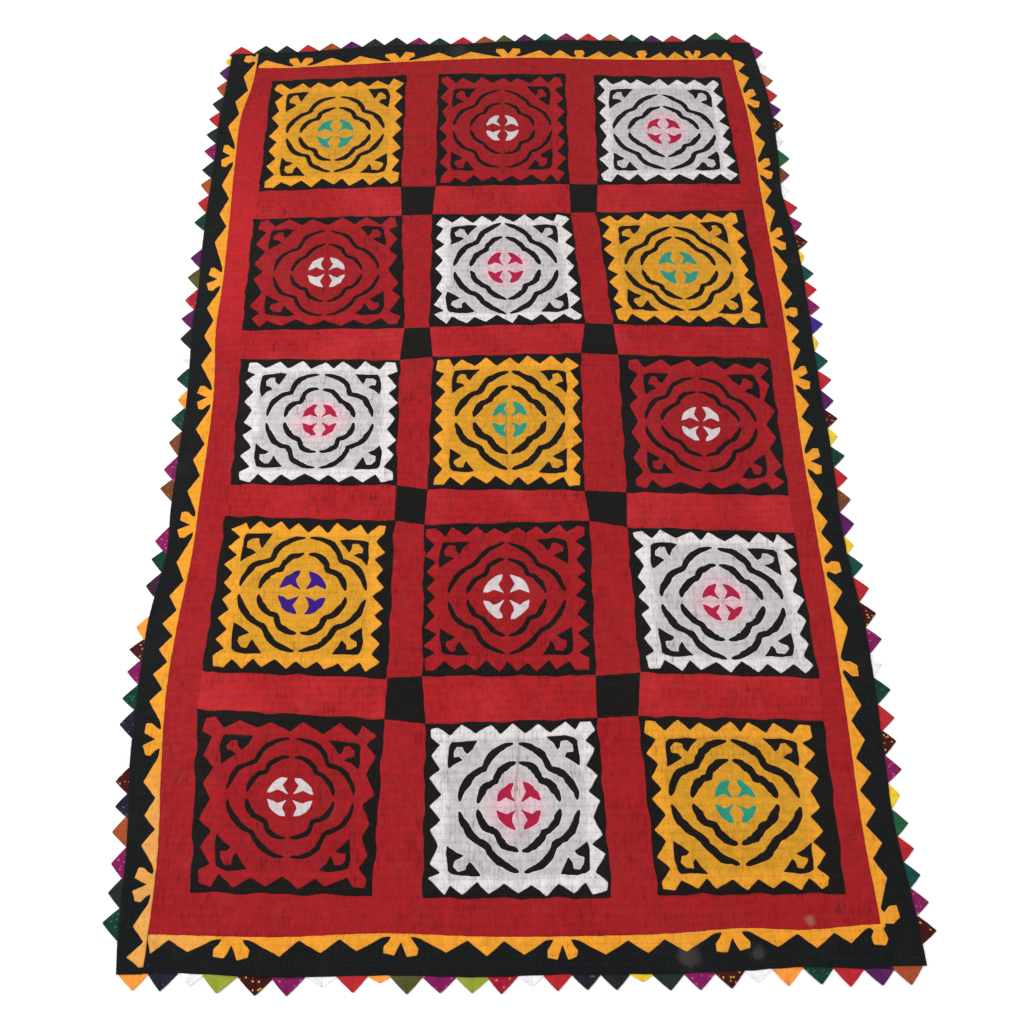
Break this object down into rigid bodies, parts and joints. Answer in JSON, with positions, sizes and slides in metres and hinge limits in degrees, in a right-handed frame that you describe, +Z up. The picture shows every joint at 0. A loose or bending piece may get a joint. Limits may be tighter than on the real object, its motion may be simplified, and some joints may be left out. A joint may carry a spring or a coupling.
{
  "type": "ralli quilt",
  "caption": "Hand-quilted ralli quilt laid flat: red ground, cut-work panels on black squares, black and yellow sawtooth border, folded points round its edge.",
  "frame": {"origin": "under the middle of the quilt's outline, on the surface that it lies on", "axes": "+X across the quilt, +Y along its length, +Z up"},
  "size_m": [1.4664, 2.3263, 0.0057],
  "materials": {
    "ground_red": "matt plain-woven red cotton, quilted with running stitch",
    "black_cloth": "matt plain-woven black cotton",
    "yellow_cloth": "matt thin golden yellow cotton",
    "panel_red": "matt thin red cotton",
    "white_cloth": "matt thin white cotton",
    "scrap_cloth": "assorted scrap cottons, plain and small-printed"
  },
  "bodies": {
    "root": {"quilt_body": "ground_red", "ground_square_1_1": "black_cloth", "cutwork_panel_1_1": "yellow_cloth", "ground_square_1_2": "black_cloth", "cutwork_panel_1_2": "panel_red", "ground_square_1_3": "black_cloth", "cutwork_panel_1_3": "white_cloth", "ground_square_2_1": "black_cloth", "cutwork_panel_2_1": "panel_red", "ground_square_2_2": "black_cloth", "cutwork_panel_2_2": "white_cloth", "ground_square_2_3": "black_cloth", "cutwork_panel_2_3": "yellow_cloth", "ground_square_3_1": "black_cloth", "cutwork_panel_3_1": "white_cloth", "ground_square_3_2": "black_cloth", "cutwork_panel_3_2": "yellow_cloth", "ground_square_3_3": "black_cloth", "cutwork_panel_3_3": "panel_red", "ground_square_4_1": "black_cloth", "cutwork_panel_4_1": "yellow_cloth", "ground_square_4_2": "black_cloth", "cutwork_panel_4_2": "panel_red", "ground_square_4_3": "black_cloth", "cutwork_panel_4_3": "white_cloth", "ground_square_5_1": "black_cloth", "cutwork_panel_5_1": "panel_red", "ground_square_5_2": "black_cloth", "cutwork_panel_5_2": "white_cloth", "ground_square_5_3": "black_cloth", "cutwork_panel_5_3": "yellow_cloth", "cornerstone_1_1": "black_cloth", "cornerstone_1_2": "black_cloth", "cornerstone_2_1": "black_cloth", "cornerstone_2_2": "black_cloth", "cornerstone_3_1": "black_cloth", "cornerstone_3_2": "black_cloth", "cornerstone_4_1": "black_cloth", "cornerstone_4_2": "black_cloth", "left_border_strip": "black_cloth", "left_sawtooth_strip": "yellow_cloth", "left_prairie_points": "scrap_cloth", "right_border_strip": "black_cloth", "right_sawtooth_strip": "yellow_cloth", "right_prairie_points": "scrap_cloth", "top_border_strip": "black_cloth", "top_sawtooth_strip": "yellow_cloth", "top_prairie_points": "scrap_cloth", "bottom_border_strip": "black_cloth", "bottom_sawtooth_strip": "yellow_cloth", "bottom_prairie_points": "scrap_cloth"}
  },
  "joints": []
}
